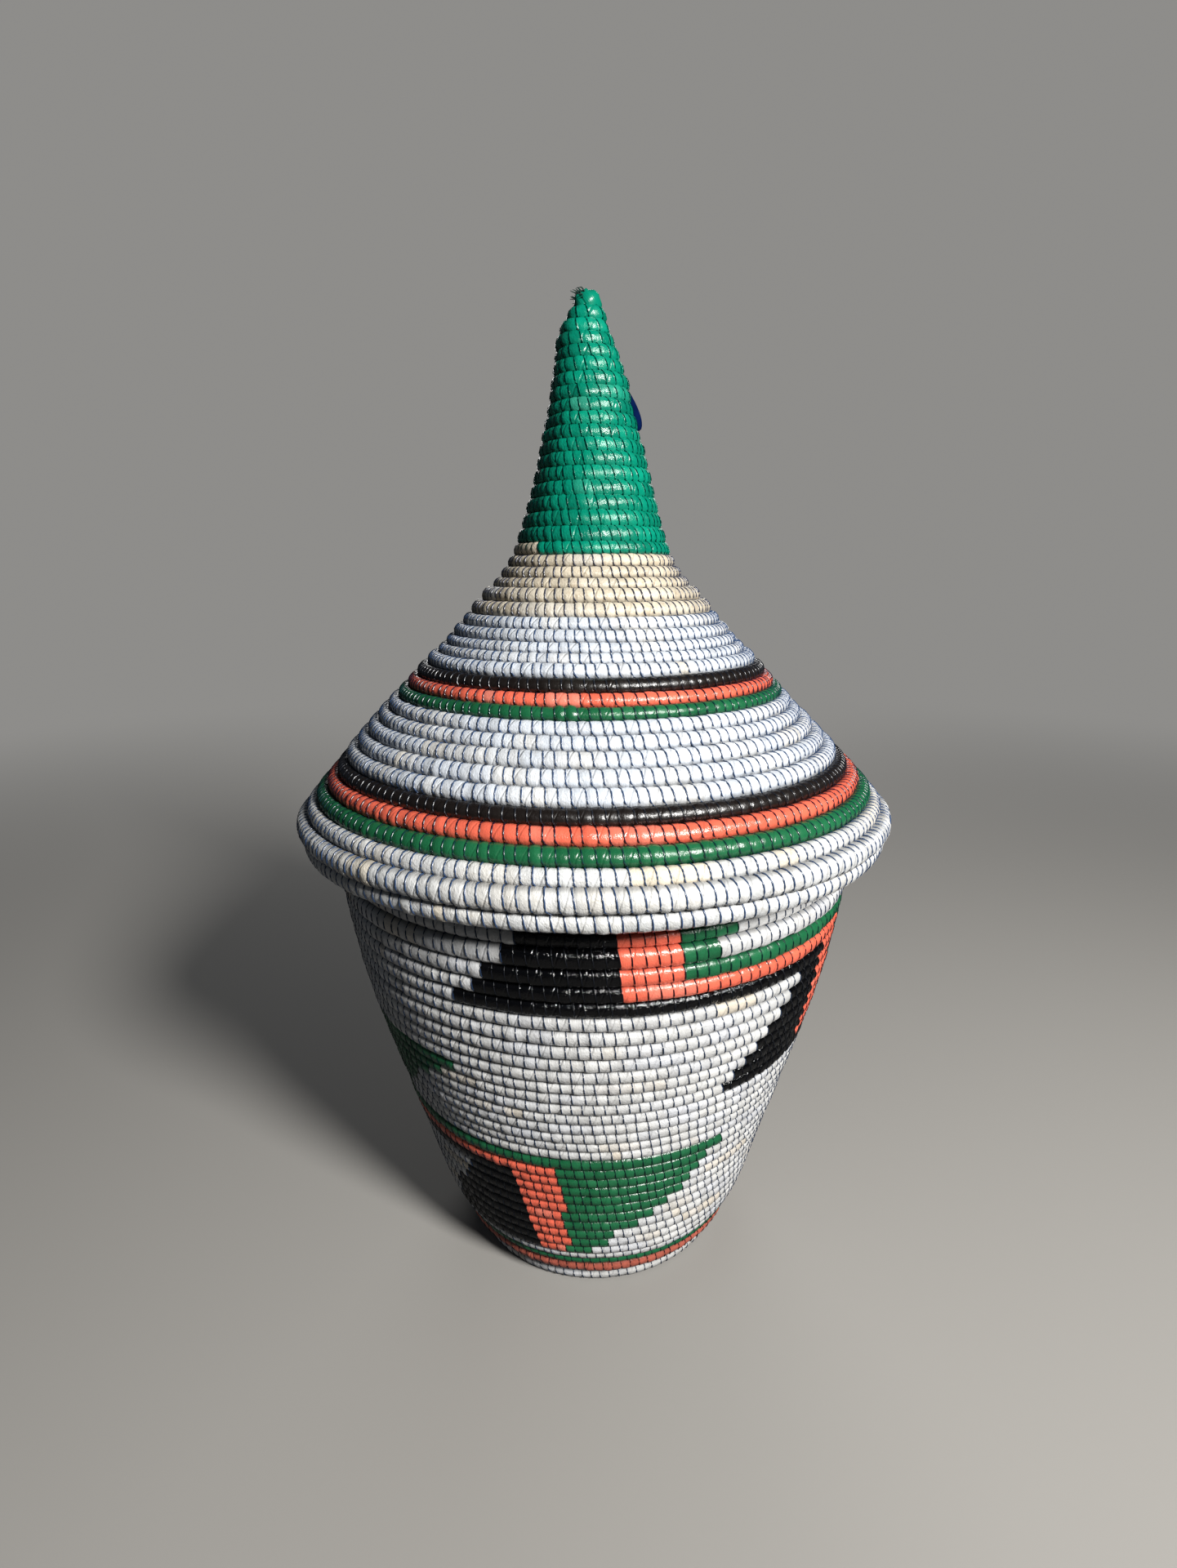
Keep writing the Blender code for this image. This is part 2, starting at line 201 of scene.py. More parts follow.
# a smooth curve through (radius, height) stations
def spline(stations, steps=24):
    pts = [np.array(p, float) for p in stations]
    pts = [2 * pts[0] - pts[1]] + pts + [2 * pts[-1] - pts[-2]]
    out = []
    for a, b, c, d in zip(pts, pts[1:], pts[2:], pts[3:]):
        for t in np.arange(steps) / steps:
            out.append(0.5 * (2 * b + (c - a) * t + (2 * a - 5 * b + 4 * c - d) * t * t
                              + (3 * b - a - 3 * c + d) * t ** 3))
    return np.array(out + [pts[-2]])


def smooth(value, low, high):
    t = np.clip((value - low) / (high - low), 0, 1)
    return t * t * (3 - 2 * t)


# parts of a turn: from where the coil drops to the next row, and where its colour changes
turnShape = {"drop": 0.5, "change": 0.75}


# Rows of coil down a turned centreline, in mm. pitches: rows, and the coil's thickness there. nudges:
# rows, and how far past their even place their lower edges lie.
class Wall:
    def __init__(self, points, rows, pitches, nudges=((0, 1), (0, 0))):
        self.points = np.array(points) * mm
        steps = np.hypot(*np.diff(self.points, axis=0).T)
        self.arc = np.concatenate(([0.0], np.cumsum(steps)))
        ends = np.vstack((self.points[:1], self.points, self.points[-1:]))
        way = ends[2:] - ends[:-2]
        long = np.hypot(way[:, 0], way[:, 1])
        self.normals = np.stack((-way[:, 1] / long, way[:, 0] / long), axis=1)
        pitch = np.interp(np.arange(rows[-1] + 1), rows, pitches)
        pitch = pitch * self.arc[-1] / (pitch.sum() - (pitch[0] + pitch[-1]) / 2)
        edge = np.concatenate(([-pitch[0] / 2], -pitch[0] / 2 + np.cumsum(pitch)))
        edge[1:] += np.interp(np.arange(rows[-1] + 1), *nudges) * mm
        self.middle = (edge[1:] + edge[:-1]) / 2
        self.half = np.diff(edge) / 2
        self.rows = rows[-1] + 1

    def at(self, s):  # radius, height and outward normal at arc length s
        s = np.clip(s, 0, self.arc[-1])
        r, z, nr, nz = [np.interp(s, self.arc, column) for column in (*self.points.T, *self.normals.T)]
        long = np.hypot(nr, nz)
        return r, z, nr / long, nz / long

    # Where the coil is at turns g: it runs level to the left across the front, and drops to the
    # next row round the back. Gives angle, arc length and half thickness.
    def place(self, g):
        turn = np.clip(np.floor(g).astype(int), 0, self.rows - 1)
        part = g - turn
        drop = smooth(part, turnShape["drop"], 1.0)
        after = np.clip(turn + 1, 0, self.rows - 1)
        s = self.middle[turn] + drop * (self.middle[after] - self.middle[turn])
        half = self.half[turn] + drop * (self.half[after] - self.half[turn])
        return np.radians(90 - 360 * part), s, half


bowlShape = {
    "rim": (86.7, 181.5), "shoulder": (88.6, 148.0), "foot": (48.2, 3.12),
    "shares": ((0.937, 0.757), (0.841, 0.541), (0.739, 0.331), (0.658, 0.162)),  # of the shoulder
    "rows": (0, 5, 12, 20, 29, 38), "pitches": (5.0, 6.05, 4.93, 4.33, 4.86, 4.46),
    "nudges": ((4, 5, 6, 7, 9, 10, 11, 12, 14, 16, 18, 20, 22, 23, 24, 33, 34, 35, 36, 37, 38),
               (0, -1.4, -0.9, -1.0, -1.4, -1.6, -1.3, -1.05, -0.9, -1.15, -0.9, -0.3, -0.7, -0.3, 0, 0,
                -0.4, -0.7, 0.5, -0.8, 0)),
    "neckRows": 5,  # hidden inside the lid
}
lidShape = {
    "seat": 171.67, "brim": 101.6, "rise": 165.5, "tip": 2.4,  # and shares of brim and rise, down the cone
    "shares": ((0.078, 0.911), (0.117, 0.812), (0.234, 0.545), (0.377, 0.421), (0.640, 0.251)),
    "upperStep": (-3.3, 5.1), "underStep": (-1.4, -6.1), "brimHalf": 3.4,  # the rows over and under the brim
    "rows": (0, 10, 15, 31, 40, 42), "pitches": (4.3, 4.0, 4.85, 4.85, 6.2, 6.1),
    "nudges": ((4, 17, 21, 23, 25, 27, 29, 31, 33, 36, 39, 40, 42),
               (0, 2.0, 0.3, 1.9, 1.7, 0.2, 0.9, 0.6, 0.5, 1.5, 0.8, 0, 0)),
}
floorShape = {"outer": 42.2, "inner": 2.2, "height": 2.58, "rows": (0, 9), "pitches": (4.4, 4.4)}

wide, high = bowlShape["shoulder"]
bowl = Wall(spline([bowlShape["rim"], (wide, high)] + [(wide * a, high * b) for a, b in bowlShape["shares"]]
                   + [bowlShape["foot"]]), bowlShape["rows"], bowlShape["pitches"], bowlShape["nudges"])
wide, high = lidShape["brim"], lidShape["rise"]
(inUp, up), (inDown, down) = lidShape["upperStep"], lidShape["underStep"]
cone = spline([(lidShape["tip"], high)] + [(wide * a, high * b) for a, b in lidShape["shares"]]
              + [(wide + inUp, up)])
lid = Wall(np.vstack((cone, [(wide, 0), (wide + inDown, down)])) + (0, lidShape["seat"]),
           lidShape["rows"], lidShape["pitches"], lidShape["nudges"])
lid.half[-2] = lidShape["brimHalf"] * mm
floorCoil = Wall([(floorShape["outer"], floorShape["height"]), (floorShape["inner"], floorShape["height"])],
                 floorShape["rows"], floorShape["pitches"])

# The stepped pattern: a chain of four motifs. Angles are degrees right of the front. top: the motif's
# first row. coral: left edge of its coral part at the given row, with its drift for each row. width and
# narrow: width of that part, and what it loses for each row. black: width of the black part at the given
# row, and blackStep its gain for each row. lead: how much further left the last row starts. green: right
# edge of the green part at each row.
motifs = (
    dict(top=-6, coral=2.8, drift=0.37, narrow=0.08, black=9.4, blackStep=3.0, lead=2.2,
         green=(48.5, 45.6, 42.7, 39.8, 36.9, 34.0, 27.2, 23.2)),
    dict(top=2, coral=57.0, drift=0.0, black=10.2, blackStep=2.45,
         green=(103.0, 100.0, 97.0, 94.0, 91.0, 88.0, 85.0, 82.5)),
    dict(top=10, coral=268.0, drift=0.0, black=12.0, blackStep=2.9,
         green=(327.8, 323.7, 316.8, 312.5, 308.5, 304.5, 300.5, 296.5)),
    dict(top=18, coral=337.7, drift=0.47, width=14.4, narrow=0.42, black=15.7, blackStep=3.45,
         green=(396.2, 390.9, 389.2, 386.8, 384.8, 382.7, 378.4, 372.9, 367.1, 364.3, 360.4)),
)
patternShape = {
    "rows": 29, "motifRows": 11, "given": 3, "coralWidth": 11.8,
    "lines": 3,      # rows of a motif that run on to the next one
    "lineRows": 12,  # the first rows, whose lines pass behind unbroken
    "anchors": ((5, 0), (13, 1), (99, 3)),  # above which row a stitch falls on which motif's coral edge
}
footColours = ("white", "green", "coral", "black", "white")


def coralEdge(m, row):
    return m["coral"] + m["drift"] * (row - m["top"] - patternShape["given"])


# colour of the bowl at a row and angle; row 0 is the first under the lid
def patternColour(row, angle):
    rows, given = patternShape["motifRows"], patternShape["given"]
    if row >= patternShape["rows"]:
        return footColours[min(row - patternShape["rows"], len(footColours) - 1)]
    for number, m in enumerate(motifs):
        step = row - m["top"]
        if not 0 <= step < rows:
            continue
        coral = coralEdge(m, row)
        left = coral - (m["black"] + m["blackStep"] * (step - given) if step >= given else 0)
        left -= m.get("lead", 0) if step == rows - 1 else 0
        width = m.get("width", patternShape["coralWidth"]) - m.get("narrow", 0) * step
        coralEnd = coral + width if step else coral
        greenEnd = m["green"][min(step, len(m["green"]) - 1)]
        if number + 1 < len(motifs) and step >= rows - patternShape["lines"]:
            greenEnd = left + (motifs[number + 1]["coral"] - left) % 360
            if step == rows - 2:
                coralEnd = greenEnd
            if step == rows - 1:
                coral = coralEnd = greenEnd
        across = (angle - left) % 360
        if across < greenEnd - left:
            return "black" if across < coral - left else "coral" if across < coralEnd - left else "green"
    return "white"


def bowlColour(row, angle):
    return patternColour(row - bowlShape["neckRows"], angle)


# the row whose colour a stitch has: behind, where the coil drops, it becomes the next row's
def plainRing(turn, part):
    return turn + (part > turnShape["change"])


def bowlRing(turn, part):  # down to the last line, the colour changes where the coil drops
    last = bowlShape["neckRows"] + patternShape["lineRows"]
    if turn == last and turnShape["drop"] < part < turnShape["change"]:
        return 0
    return turn + (part > turnShape["drop" if turn < last else "change"])


lidBands = (("emerald", 19), ("cream", 5), ("white", 5), ("black", 1), ("coral", 1), ("green", 1),
            ("white", 5), ("black", 1), ("coral", 1), ("green", 1), ("white", 3))
lidRows = [colour for colour, count in lidBands for _ in range(count)]
creamStart = {"row": 18, "left": 182, "right": 320}  # the cream strip begins on the last spire row


def lidColour(row, angle):
    row = min(row, len(lidRows) - 1)
    if row == creamStart["row"] and creamStart["left"] < angle % 360 < creamStart["right"]:
        return "cream"
    return lidRows[row]


stitchShape = {
    "swell": 1.06,      # the coil's half thickness between stitches, as a share of half the row
    "pinch": {"lid": 0.945, "bowl": 0.975, "floor": 0.95},  # and under the thread
    "sections": ((0.0, 1.0), (0.14, 0.3), (0.5, 0.0), (0.86, 0.3)),  # place, share of the pinch
    "shingle": 0.035,   # each tile of strip stands prouder at its left end
    "full": 0.40,       # the spire's coil is fatter and lies deeper, so that its grooves are shallow
    "spireEase": 0.6,   # how much of the pinch the spire's flat strip is spared
    "lumps": 0.03,      # spread of the coil's thickness
    "ends": (0.3, 0.25),  # thickness of the coil's two ends
    "toneCarry": 0.3,   # how much of its tone a tile has from the one before
    "oddTiles": (0.022, 0.62),  # share of tiles that start a run of odd colour, and how it goes on
    "oddest": (0.35, 1),        # how far the colour of such a run goes
    "spacing": {                # rows, and mm between stitches there
        "bowl": ((0, 13, 20, 28, 38), (3.56, 3.56, 3.3, 3.0, 3.15)),
        "lid": ((0, 18, 24, 29, 36, 41, 42), (2.8, 2.85, 2.95, 3.15, 3.4, 3.5, 3.6)),
        "floor": ((0, 9), (3.3, 3.0)),
    },
    "uneven": 0.06,     # spread of that spacing
    "fewest": 6,        # stitches in a turn
    "usual": 3.0, "closest": 0.5,  # mm, and the share of it under which a stitch is left out
    "shortTurn": 12.0,  # mm, the least that counts as a turn there
}


# an angle where a stitch must fall on a bowl row, so that the motifs' edges are straight
def anchorAngle(row):
    row -= bowlShape["neckRows"]
    return coralEdge(motifs[next(n for end, n in patternShape["anchors"] if row < end)], row) % 360


# turns g of every stitch down a wall
def stitchPlaces(wall, spacing, anchor=None):
    places = []
    for row in range(wall.rows):
        radius = wall.at(wall.middle[row])[0]
        gap = np.interp(row, *spacing) * mm
        count = max(stitchShape["fewest"], round(2 * math.pi * radius / gap))
        start = anchor(row) if anchor else rng.uniform(0, 360)
        part = np.sort(((90 - start) / 360 + np.arange(count) / count) % 1)
        places += list(row + part + rng.normal(0, stitchShape["uneven"], count) / count)
    kept = []
    for g in np.sort(places):
        radius = wall.at(wall.place(np.array([g]))[1])[0][0]
        usual = stitchShape["usual"] * mm / max(2 * math.pi * radius, stitchShape["shortTurn"] * mm)
        if g >= 0 and (not kept or g - kept[-1] > stitchShape["closest"] * usual):
            kept.append(g)
    return np.array(kept)


# One whole coil: its sections, its stitches, and the colour between each two stitches. taper: turns over
# which its ends thin out. fullTo: turns of the spire. knots: turns between which it is thicker, and by how
# much.
class Strand:
    def __init__(self, wall, places, colour, ring, pinch, wander=None, taper=(0.0, 0.0), fullTo=0, knots=()):
        self.places = places
        sections = stitchShape["sections"]
        gaps = np.diff(places)
        count = len(gaps)
        tone, odd = np.zeros(count), np.zeros(count)
        begin, goOn = stitchShape["oddTiles"]
        carry = stitchShape["toneCarry"]
        for n in range(count):
            tone[n] = rng.uniform(0, 1) * (1 - carry) + (tone[n - 1] if n else 0.5) * carry
            if n and odd[n - 1]:
                odd[n] = odd[n - 1] if rng.uniform() < goOn else 0
            elif rng.uniform() < begin:
                odd[n] = rng.uniform(*stitchShape["oddest"])
        lump = rng.normal(0, stitchShape["lumps"], count)
        for first, last, size in knots:
            lump[(places[:-1] > first) & (places[:-1] < last)] += size
        spread = lambda values: np.repeat(values, len(sections))
        close = lambda values, last: np.append(values, last)
        part = close(np.tile([place for place, _ in sections], count), 0.0)
        pinched = close(np.tile([share for _, share in sections], count), 1.0)
        at = close(spread(places[:-1]) + spread(gaps) * part[:-1], places[-1])
        flush = 1 - smooth(at, fullTo - 1, fullTo + 1) if fullTo else 0 * at
        depth = (1 - pinch) * (1 - stitchShape["spireEase"] * flush)
        swell = stitchShape["swell"] * (1 - depth * pinched + close(spread(lump), 0.0) * (1 - pinched)
                                        + stitchShape["shingle"] * (part - 0.5) * (part > 0))
        angle, s, half = wall.place(at)
        r, z, nr, nz = wall.at(s)
        full = stitchShape["full"] * flush
        r, z = r - nr * half * full, z - nz * half * full
        half = half * (swell + full)
        for turns, way, end in zip(taper, (at - at[0], at[-1] - at), stitchShape["ends"]):
            if turns:
                half = half * np.clip(end + (1 - end) * way / turns, 0, 1)
        out = np.stack((nr * np.sin(angle), -nr * np.cos(angle), nz), axis=1)
        self.points = np.stack((r * np.sin(angle), -r * np.cos(angle), z), axis=1)
        if wander is not None:
            self.points = self.points + wander(self.points, at)
        left = np.stack((-np.cos(angle), -np.sin(angle), 0 * angle), axis=1)
        way = np.linalg.norm(np.diff(self.points, axis=0), axis=1)
        middle = (places[1:] + places[:-1]) / 2
        turn = np.floor(middle).astype(int)
        part = middle - turn
        self.rings = [ring(t, p) for t, p in zip(turn, part)]
        self.colours = [colour(row, a) for row, a in zip(self.rings, (90 - 360 * part) % 360)]
        self.values = {"half": half, "pinched": pinched, "row": np.floor(at), "centre": self.points,
                       "along": np.concatenate(([0.0], np.cumsum(way))) / mm, "out": out,
                       "left": left, "tone": close(spread(tone), tone[-1]), "odd": close(spread(odd), 0.0)}

    # sections of every run of coil between stitches that wanted(colour, row) picks
    def coilGuide(self, wanted):
        per = len(stitchShape["sections"])
        edges, take, start = [], [], None
        picked = [wanted(c, row) for c, row in zip(self.colours, self.rings)]
        for n, yes in enumerate(picked + [False]):
            if yes and start is None:
                start = n
            if not yes and start is not None:
                run = list(range(start * per, n * per + 1))
                edges += [(len(take) + k, len(take) + k + 1) for k in range(len(run) - 1)]
                take += run
                start = None
        return guideObject(self.points[take], edges, {key: v[take] for key, v in self.values.items()})

    # one point for every stitch from turn first to turn last
    def threadGuide(self, first, last):
        per = len(stitchShape["sections"])
        stitches = [n for n in range(len(self.places) - 1) if first <= self.places[n] < last]
        take = [n * per for n in stitches]
        under = [threadTints[self.colours[n]] for n in stitches]
        return guideObject(self.points[take], [], {
            **{key: self.values[key][take] for key in ("half", "out", "left")}, "under": under})


slantShape = {"slant": 0.11, "bend": 0.10, "spireSlant": 0.26}  # the stitches' tops lie to the left


# a coil swept along its guide, sheared as its stitches slant, and creased a little
def coilTree():
    board, given, finish = geometryTree("strip coil", {
        "Sides": 12, "Slant": 0.1, "Bend": 0.1, "Crease": 0.0001, "Crease size": 350.0, "Square": 0.1,
        "Tuck": 0.1})
    out = board.named("out", "FLOAT_VECTOR")
    path = board.node("GeometryNodeMeshToCurve", {}, {"Mesh": given["Geometry"]})
    path = board.node("GeometryNodeSetCurveNormal", {"mode": "FREE"}, {"Curve": path, "Normal": out})
    path = board.node("GeometryNodeSetCurveRadius", {}, {"Curve": path, "Radius": 1.0})
    ring = board.node("GeometryNodeCurvePrimitiveCircle", {}, {"Resolution": given["Sides"], "Radius": 1.0})
    spot = board.place()
    x, y = [board.node("ShaderNodeSeparateXYZ", {}, {0: spot}, out=n) for n in (0, 1)]
    ring = board.moved(ring, board.scaled(spot, x * x * y * y * 4.0 * given["Square"]))  # at its corners
    tube = board.node("GeometryNodeCurveToMesh", {}, {
        "Curve": path, "Profile Curve": ring, "Scale": board.named("half"), "Fill Caps": True})
    left, half = board.named("left", "FLOAT_VECTOR"), board.named("half")
    reach = board.vectors("SUBTRACT", board.place(), board.named("centre", "FLOAT_VECTOR"))
    level = board.vectors("DOT_PRODUCT", reach, board.vectors("CROSS_PRODUCT", left, out), out=1) / half
    tube = board.node("GeometryNodeStoreNamedAttribute", {"data_type": "FLOAT", "domain": "POINT"},
                      {"Geometry": tube, "Name": "level", "Value": level})
    level = board.named("level")
    upper = board.maths("MAXIMUM", level, 0.0)
    shear = board.scaled(left, half * (level * given["Slant"] + upper * upper * given["Bend"]))
    corner = board.step(board.maths("ABSOLUTE", level), 0.35, 1.0)
    tuck = board.scaled(reach, board.named("pinched") * corner * given["Tuck"] * -1.0)
    tube = board.moved(tube, board.vectors("ADD", shear, tuck))
    wrinkle = board.noise(board.place(), given["Crease size"], 1.0)
    push = board.scaled(board.node("GeometryNodeInputNormal"), (wrinkle - 0.5) * 2.0 * given["Crease"])
    return finish(board.moved(tube, push))


# a loop of thread round the coil at every stitch
def threadTree():
    board, given, finish = geometryTree("sewing thread", {
        "Thickness": 0.0002, "Lift": 1.02, "Slant": 0.1, "Bend": 0.1, "Sweep": 5.4, "Bends": 12,
        "Uneven": 0.06, "Seed": 3, "Foot": 0.3, "Sides": 4})
    loop = board.node("GeometryNodeCurveArc", {"mode": "RADIUS"}, {
        "Resolution": given["Bends"], "Radius": given["Lift"],
        "Start Angle": given["Sweep"] * -0.5, "Sweep Angle": given["Sweep"]})
    level = board.node("ShaderNodeSeparateXYZ", {}, {0: board.place()}, out=1)
    upper = board.maths("MAXIMUM", level, 0.0)
    foot = board.step(level * -1.0, 0.7, 1.0) * given["Foot"]  # the loop's lower end lies further right
    shear = board.vector(0.0, 0.0, level * given["Slant"] + upper * upper * given["Bend"] - foot)
    loop = board.moved(loop, shear)
    turn = board.node("FunctionNodeAxesToRotation", {"primary_axis": "X", "secondary_axis": "Z"}, {
        "Primary Axis": board.named("out", "FLOAT_VECTOR"),
        "Secondary Axis": board.named("left", "FLOAT_VECTOR")})
    shake = board.node("FunctionNodeRandomValue", {"data_type": "FLOAT"},
                       {2: given["Uneven"] * -1.0, 3: given["Uneven"], "Seed": given["Seed"]}, out=1)
    lean = board.node("FunctionNodeAxisAngleToRotation", {}, {"Axis": (1, 0, 0), "Angle": shake})
    turn = board.node("FunctionNodeRotateRotation", {"rotation_space": "LOCAL"},
                      {"Rotation": turn, "Rotate By": lean})
    size = board.named("half")
    loops = board.node("GeometryNodeInstanceOnPoints", {}, {
        "Points": given["Geometry"], "Instance": loop, "Rotation": turn,
        "Scale": board.vector(size, size, size)})
    loops = board.node("GeometryNodeRealizeInstances", {}, {"Geometry": loops})
    loops = board.node("GeometryNodeSetCurveRadius", {}, {"Curve": loops, "Radius": 1.0})
    strand = board.node("GeometryNodeCurvePrimitiveCircle", {}, {
        "Resolution": given["Sides"], "Radius": given["Thickness"]})
    thread = board.node("GeometryNodeCurveToMesh", {}, {
        "Curve": loops, "Profile Curve": strand, "Scale": 1.0, "Fill Caps": True})
    return finish(thread)


def newMaterial(name):
    material = bpy.data.materials.new(name)
    material.use_nodes = True
    material.node_tree.nodes.clear()
    return material, Board(material.node_tree)


def endMaterial(board, sockets):
    board.end("ShaderNodeOutputMaterial", board.node("ShaderNodeBsdfPrincipled", {}, sockets))


# how the strip varies along the coil (per mm), across it (per half thickness) and from row to row
stripGrain = {
    "creases": (0.5, 1.6, 3.7), "fine": (1.5, 2.6, 5.1), "marks": (0.35, 1.3, 6.1), "drift": (0.05, 0.8),
    "lap": 6.8, "lapLean": 0.22, "lapShift": 0.37,  # mm from one edge of the strip to the next
    "relief": 0.0006,                               # metres
    "driftShare": 0.6, "fineLight": 0.22, "creaseLight": 0.2,
}


# Thin plastic strip wound round a grass coil: creased, uneven in tone, lapped, and darker at the grooves and
# under the thread, partly grime and partly painted shade.
# other: colour of odd tiles. tint: colour that it drifts to round the basket. spread: of the tiles' tones.
def stripMaterial(name, colour, other, stain=0.0, stainColour=None, gloss=0.32, spread=0.2, crease=0.55,
                  grime=0.35, tint=None, shine=0.5):
    material, board = newMaterial(name)
    along, level, tone, pinched, row = [board.attribute(key) for key in
                                        ("along", "level", "tone", "pinched", "row")]

    def sheet(kind, shift=0.0):
        a, b, c = stripGrain[kind]
        return board.vector(along * a, level * b, row * c + shift)

    creases = board.noise(sheet("creases", tone * 2.0), 1.0, 4.0, 0.62)
    fine = board.noise(sheet("fine"), 1.6, 3.0, 0.6)
    lap = board.maths("FRACT", along / stripGrain["lap"] + level * stripGrain["lapLean"]
                      + row * stripGrain["lapShift"])
    seam = board.step(lap, 0.0, 0.06) * (1 - board.step(lap, 0.92, 1.0))
    height = creases * (0.6 + pinched * 0.8) + fine * 0.35 + seam * 0.3
    normal = board.node("ShaderNodeBump", {}, {
        "Strength": crease, "Distance": stripGrain["relief"], "Height": height})
    paint = board.mixed((*colour, 1), (*other, 1), board.attribute("odd"))
    if tint:
        a, b = stripGrain["drift"]
        drift = board.noise(board.vector(along * a, row * b, 0.0), 1.0, 2.0)
        paint = board.mixed(paint, (*tint, 1), board.step(drift, 0.45, 0.7) * stripGrain["driftShare"])
    if stain:
        mark = board.noise(sheet("marks"), 1.0, 4.0, 0.68)
        low = 0.5 - level * 0.5
        paint = board.mixed(paint, (*stainColour, 1), board.step(mark + low * 0.08, 0.52, 0.8) * stain)
    # brightness: random tone and fine grain, plus painted shading from the creases' relief, lighter on the
    # ridges and darker in the hollows
    light = ((tone - 0.5) * spread + 1.0 + (fine - 0.5) * stripGrain["fineLight"]
             + (creases - 0.5) * stripGrain["creaseLight"])
    # painted shade with some grime: darker towards the coil's top and bottom, where it meets the next row,
    # and where the thread pinches it
    edges = board.step(board.maths("ABSOLUTE", level), 0.62, 1.0)
    light = light * (1 - (1 - seam) * 0.12) * (1 - edges * grime) * (1 - pinched * pinched * grime * 0.45)
    paint = board.mixed(paint, board.grey(light), 1.0, "MULTIPLY")
    rough = (creases - 0.5) * 0.35 + gloss + (tone - 0.5) * 0.1
    endMaterial(board, {"Base Color": paint, "Roughness": rough, "Normal": normal,
                        "Specular IOR Level": shine})
    return material


# the thread lets the colour of the strip under it through: a number for each, and colours from there on
threadTints = {"white": 0.0, "cream": 0.2, "coral": 0.4, "green": 0.6, "emerald": 0.6, "black": 0.9}
threadColours = (
    (0.0, (0.030, 0.065, 0.15, 1)), (0.1, (0.040, 0.045, 0.075, 1)), (0.3, (0.030, 0.006, 0.022, 1)),
    (0.5, (0.0, 0.035, 0.035, 1)), (0.75, (0.008, 0.010, 0.016, 1)),
)
threadWear = {"scale": 260.0, "darkest": 0.6, "lightest": 1.6}


# a thread's own colour, or the one that the strip under it gives, at a share light of it
def threadMaterial(name, gloss, shine, colour=None, light=1.0):
    material, board = newMaterial(name)
    worn = board.noise(board.node("ShaderNodeTexCoord", out=3), threadWear["scale"], 2.0)
    if colour:
        dark, pale = [(*[c * threadWear[key] for c in colour], 1) for key in ("darkest", "lightest")]
        paint = board.mixed(dark, pale, worn)
    else:
        paint = board.node("ShaderNodeValToRGB", {"stops": threadColours}, {0: board.attribute("under")})
        board.tree.nodes[-1].color_ramp.interpolation = "CONSTANT"
        paint = board.mixed(paint, board.grey(worn * 0.9 * light + 0.6 * light), 1.0, "MULTIPLY")
    endMaterial(board, {"Base Color": paint, "Roughness": worn * 0.15 + gloss, "Specular IOR Level": shine})
    return material


finishes = {
    "lidWhite": stripMaterial(
        "lid white strip", (0.58, 0.62, 0.675), (0.74, 0.66, 0.52), stain=0.3, stainColour=(0.40, 0.36, 0.30),
        gloss=0.36, spread=0.32, crease=0.9, grime=0.42, tint=(0.70, 0.675, 0.62)),
    "bowlWhite": stripMaterial(
        "bowl white strip", (0.575, 0.575, 0.565), (0.62, 0.555, 0.455), stain=0.3,
        stainColour=(0.38, 0.32, 0.26), gloss=0.38, spread=0.36, crease=0.8, grime=0.55,
        tint=(0.53, 0.55, 0.60)),
    "brimWhite": stripMaterial(
        "brim ivory strip", (0.605, 0.615, 0.615), (0.74, 0.66, 0.52), stain=0.35,
        stainColour=(0.40, 0.34, 0.26), gloss=0.36, spread=0.32, crease=0.9, grime=0.45,
        tint=(0.67, 0.635, 0.57)),
    "cream": stripMaterial(
        "cream strip", (0.57, 0.505, 0.39), (0.61, 0.61, 0.59), stain=0.55, stainColour=(0.34, 0.23, 0.12),
        gloss=0.38, spread=0.35, crease=0.8, grime=0.42, tint=(0.66, 0.61, 0.51)),
    "coral": stripMaterial(
        "coral strip", (0.76, 0.137, 0.080), (0.76, 0.23, 0.165), gloss=0.24, spread=0.3, grime=0.42,
        shine=0.6),
    # the foot's coral, much darker than the coral above: partly dirt, partly painted shade for the low,
    # downward-facing foot
    "footCoral": stripMaterial(
        "dull coral strip", (0.42, 0.105, 0.070), (0.50, 0.17, 0.12), stain=0.4,
        stainColour=(0.20, 0.06, 0.04), gloss=0.34, spread=0.4, crease=0.8, grime=0.5, shine=0.4),
    "green": stripMaterial(
        "green strip", (0.010, 0.112, 0.043), (0.02, 0.15, 0.06), gloss=0.29, spread=0.35, crease=0.42,
        grime=0.42, shine=0.55),
    "lidBlack": stripMaterial(
        "lid black strip", (0.008, 0.0055, 0.0045), (0.012, 0.010, 0.008), gloss=0.30, crease=0.42, grime=0.3,
        shine=0.7),
    "bowlBlack": stripMaterial(
        "bowl black strip", (0.0012, 0.0012, 0.0016), (0.003, 0.003, 0.003), gloss=0.06, crease=0.7,
        grime=0.3),
    "emerald": stripMaterial(
        "emerald strip", (0.0, 0.2, 0.122), (0.03, 0.3, 0.2), gloss=0.27, spread=0.6, crease=0.75, grime=0.6,
        tint=(0.0, 0.24, 0.152), shine=0.6),
    "thread": threadMaterial("blue thread", 0.2, 0.8, light=0.78),
    "bowlThread": threadMaterial("dusty blue thread", 0.3, 0.25, light=0.42),
    "spireThread": threadMaterial("dark green thread", 0.5, 0.0, (0.0, 0.022, 0.018)),
    "blue": threadMaterial("royal blue strip", 0.6, 0.0, (0.0018, 0.007, 0.04)),
    "fibre": threadMaterial("frayed fibre", 0.6, 0.2, (0.006, 0.035, 0.026)),
}
print("stage: materials", len(finishes))

